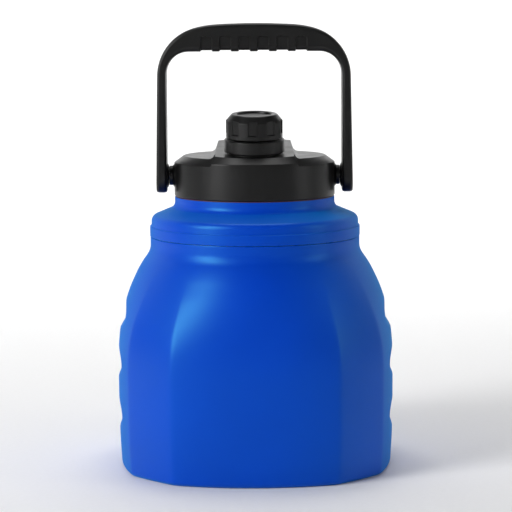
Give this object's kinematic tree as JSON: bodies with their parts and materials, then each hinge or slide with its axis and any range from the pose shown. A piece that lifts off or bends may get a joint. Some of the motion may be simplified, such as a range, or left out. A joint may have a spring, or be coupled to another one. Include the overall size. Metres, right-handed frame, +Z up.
{
  "type": "insulated water jug",
  "caption": "Wide double-wall steel jug with a faceted blue body, a black screw lid, a leaning capped spout and a swinging bail handle.",
  "frame": {"origin": "centre of the base, on the plane that the jug stands on", "axes": "+Z up; the spout leans towards -Y, which is the front; the handle's pivots are on an axis along X"},
  "size_m": [0.1938, 0.1938, 0.3088],
  "materials": {
    "blue_powder_coat": "satin powder coat",
    "brushed_liner_steel": "brushed",
    "seal_metal": "dull",
    "getter_metal": "matte",
    "black_plastic": "satin moulded",
    "plug_plastic": "smooth satin",
    "foam": "closed-cell foam",
    "silicone": "soft matte",
    "gasket_silicone": "soft matte, dark red-brown",
    "black_rubber": "matte",
    "pin_steel": "turned"
  },
  "bodies": {
    "jug": {"body_shell": "blue_powder_coat", "shoulder_shell": "blue_powder_coat", "inner_liner": "brushed_liner_steel", "base_plate": "blue_powder_coat", "vacuum_seal_bead": "seal_metal", "vacuum_getter": "getter_metal"},
    "mouth_gasket": {"lid_gasket": "gasket_silicone"},
    "lid": {"lid_shell": "black_plastic", "lid_plug": "plug_plastic", "lid_insulation": "foam", "spout_tube": "plug_plastic", "spout_collar": "black_plastic", "spout_gasket": "black_rubber", "pivot_pin_left": "pin_steel", "pivot_pin_right": "pin_steel"},
    "spout_seal": {"cap_seal": "silicone"},
    "cap": {"cap_shell": "black_plastic", "cap_disc": "black_plastic", "cap_thread_insert": "plug_plastic"},
    "handle": {"handle_bail": "black_plastic", "pivot_bush_left": "black_plastic", "pivot_bush_right": "black_plastic"}
  },
  "joints": [
    {"name": "lid_lift", "type": "slide", "parent": "jug", "child": "mouth_gasket", "axis": [0, 0, 1], "range_m": [0, 0.03]},
    {"name": "lid_turn", "type": "hinge", "parent": "mouth_gasket", "child": "lid", "pos_m": [0, 0, 0.19], "axis": [0, 0, 1], "range_deg": [0, 900]},
    {"name": "cap_lift", "type": "slide", "parent": "lid", "child": "spout_seal", "axis": [0, -0.0872, 0.9962], "range_m": [0, 0.012]},
    {"name": "cap_turn", "type": "hinge", "parent": "spout_seal", "child": "cap", "pos_m": [0, -0.028, 0.22], "axis": [0, -0.0872, 0.9962], "range_deg": [0, 1080]},
    {"name": "handle_swing", "type": "hinge", "parent": "lid", "child": "handle", "pos_m": [0, 0, 0.2029], "axis": [1, 0, 0], "range_deg": [-110, 110]}
  ],
  "couplings": [
    {"joint": "lid_lift", "follows": "lid_turn", "m_per_rad": 0.0019099},
    {"joint": "cap_lift", "follows": "cap_turn", "m_per_rad": 0.00063662}
  ]
}
